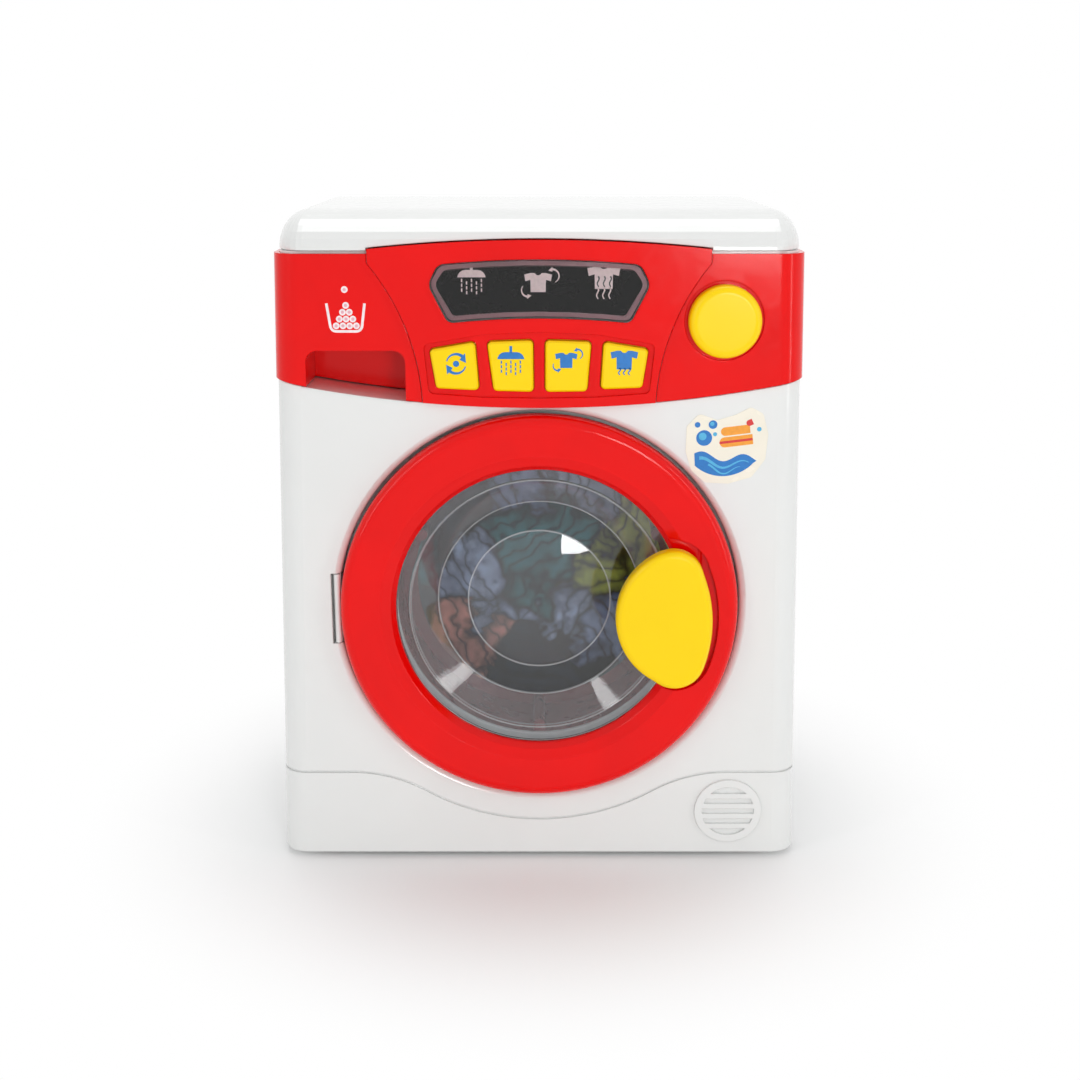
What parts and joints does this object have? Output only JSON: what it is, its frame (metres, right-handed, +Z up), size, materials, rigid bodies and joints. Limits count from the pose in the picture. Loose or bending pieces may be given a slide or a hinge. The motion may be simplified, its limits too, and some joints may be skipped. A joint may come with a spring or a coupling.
{
  "type": "toy washing machine",
  "caption": "Toy front-loading washing machine with a round opening door, a turning drum, a small drawer, push buttons and a programme knob.",
  "frame": {"origin": "middle of the footprint on the floor, under the centre of the whole box", "axes": "+Z up; the door faces -Y; +X to the viewer's right"},
  "size_m": [0.2146, 0.146, 0.2653],
  "materials": {
    "white_plastic": "gloss",
    "red_plastic": "gloss",
    "yellow_plastic": "gloss",
    "dark_red_rubber": "matte",
    "clear_plastic": "gloss",
    "display_black": "gloss",
    "drum_maroon": "satin",
    "grey_plastic": "matte",
    "black_plastic": "matte",
    "gear_nylon": "matte",
    "steel": "satin",
    "pinion_brass": "satin",
    "board_green": "matte",
    "pad_rubber": "matte",
    "printed_card": "matte",
    "label_film": "gloss",
    "cell_wrap": "gloss"
  },
  "bodies": {
    "cabinet": {"front_casing": "white_plastic", "rear_casing": "white_plastic", "lid": "white_plastic", "feet": "dark_red_rubber", "casing_screws": "steel", "lid_screws": "steel", "fascia": "red_plastic", "right_panel": "red_plastic", "display_lens": "clear_plastic", "display_mask": "display_black", "control_board": "board_green", "indicator_leds": "clear_plastic", "button_switches": "black_plastic", "key_pad": "pad_rubber", "board_screws": "steel", "selector_switch": "black_plastic", "drawer_guide": "grey_plastic", "hinge_pin": "steel", "door_catch": "grey_plastic", "tub": "grey_plastic", "tub_screws": "steel", "shaft_bush": "gear_nylon", "gearbox_case": "black_plastic", "gearbox_screws": "steel", "idler_axle": "steel", "motor": "steel", "speaker": "black_plastic", "speaker_clamp": "grey_plastic", "battery_cells": "cell_wrap", "battery_contacts": "steel", "battery_cover": "white_plastic", "cover_screw": "steel", "label": "label_film"},
    "button_a": {"button_cycle": "yellow_plastic"},
    "button_b": {"button_wash": "yellow_plastic"},
    "button_c": {"button_spin": "yellow_plastic"},
    "button_d": {"button_dry": "yellow_plastic"},
    "selector": {"knob": "yellow_plastic"},
    "drawer": {"drawer_front": "red_plastic", "drawer_tray": "white_plastic"},
    "door": {"door_ring": "red_plastic", "door_back": "black_plastic", "door_window": "clear_plastic", "door_screws": "steel", "handle_pin": "steel", "latch_spring": "steel"},
    "door_handle": {"handle": "yellow_plastic"},
    "drum_unit": {"drum": "drum_maroon", "drum_card": "printed_card", "drum_shaft": "steel", "drum_gear": "gear_nylon"},
    "idler": {"idler_gear": "gear_nylon"},
    "pinion": {"motor_pinion": "pinion_brass"}
  },
  "joints": [
    {"name": "button_a_press", "type": "slide", "parent": "cabinet", "child": "button_a", "axis": [0, 1, 0], "range_m": [0, 0.0016], "stiffness_N_per_m": 400, "springref_m": -0.0005},
    {"name": "button_b_press", "type": "slide", "parent": "cabinet", "child": "button_b", "axis": [0, 1, 0], "range_m": [0, 0.0016], "stiffness_N_per_m": 400, "springref_m": -0.0005},
    {"name": "button_c_press", "type": "slide", "parent": "cabinet", "child": "button_c", "axis": [0, 1, 0], "range_m": [0, 0.0016], "stiffness_N_per_m": 400, "springref_m": -0.0005},
    {"name": "button_d_press", "type": "slide", "parent": "cabinet", "child": "button_d", "axis": [0, 1, 0], "range_m": [0, 0.0016], "stiffness_N_per_m": 400, "springref_m": -0.0005},
    {"name": "selector_turn", "type": "hinge", "parent": "cabinet", "child": "selector", "pos_m": [0.0705, -0.06, 0.2249], "axis": [0, 1, 0], "range_deg": [-135, 135]},
    {"name": "drawer_slide", "type": "slide", "parent": "cabinet", "child": "drawer", "axis": [0, -1, 0], "range_m": [0, 0.038]},
    {"name": "door_swing", "type": "hinge", "parent": "cabinet", "child": "door", "pos_m": [-0.0809, -0.0587, 0.1095], "axis": [0, 0, -1], "range_deg": [0, 90]},
    {"name": "handle_pull", "type": "hinge", "parent": "door", "child": "door_handle", "pos_m": [0.0635, -0.0635, 0.108], "axis": [0, 0, 1], "range_deg": [0, 18], "stiffness_Nm_per_rad": 0.08, "springref_deg": -5.73},
    {"name": "drum_spin", "type": "hinge", "parent": "cabinet", "child": "drum_unit", "pos_m": [0, -0.02, 0.1095], "axis": [0, 1, 0], "continuous": true},
    {"name": "idler_spin", "type": "hinge", "parent": "cabinet", "child": "idler", "pos_m": [0.025, -0.006, 0.1095], "axis": [0, 1, 0], "continuous": true},
    {"name": "pinion_spin", "type": "hinge", "parent": "cabinet", "child": "pinion", "pos_m": [0.045, -0.002, 0.1095], "axis": [0, 1, 0], "continuous": true}
  ],
  "couplings": [
    {"joint": "idler_spin", "follows": "drum_spin", "ratio": -4},
    {"joint": "pinion_spin", "follows": "drum_spin", "ratio": 12}
  ]
}
